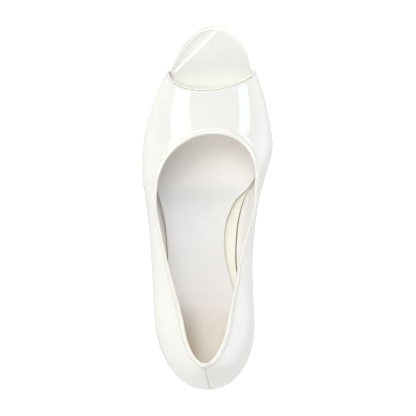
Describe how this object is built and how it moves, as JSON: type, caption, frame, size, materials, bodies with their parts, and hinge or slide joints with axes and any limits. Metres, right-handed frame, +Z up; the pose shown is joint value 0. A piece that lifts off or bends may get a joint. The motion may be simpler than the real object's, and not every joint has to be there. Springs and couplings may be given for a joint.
{
  "type": "peep toe pump",
  "caption": "High-heeled left pump: hollow patent upper with a bound collar and an open toe, covered insole, sock, thin sole, slim covered heel and heel tip.",
  "frame": {"origin": "on the floor, under the middle of the bounding box", "axes": "+Y from the heel to the toe, +X to the medial side, +Z up"},
  "size_m": [0.0836, 0.2249, 0.1324],
  "materials": {
    "patent": "cream patent leather, high gloss",
    "covered_insole": "insole board covered in cream leather, glossy at the toe",
    "sock_lining": "matte pale grey-cream sock lining",
    "sole_leather": "smooth tan sole leather",
    "heel_cover": "moulded heel covered in cream patent",
    "tip_rubber": "matte hard rubber"
  },
  "bodies": {
    "root": {"upper": "patent", "insole": "covered_insole", "sock": "sock_lining", "outsole": "sole_leather", "heel": "heel_cover", "heel_tip": "tip_rubber"}
  },
  "joints": []
}
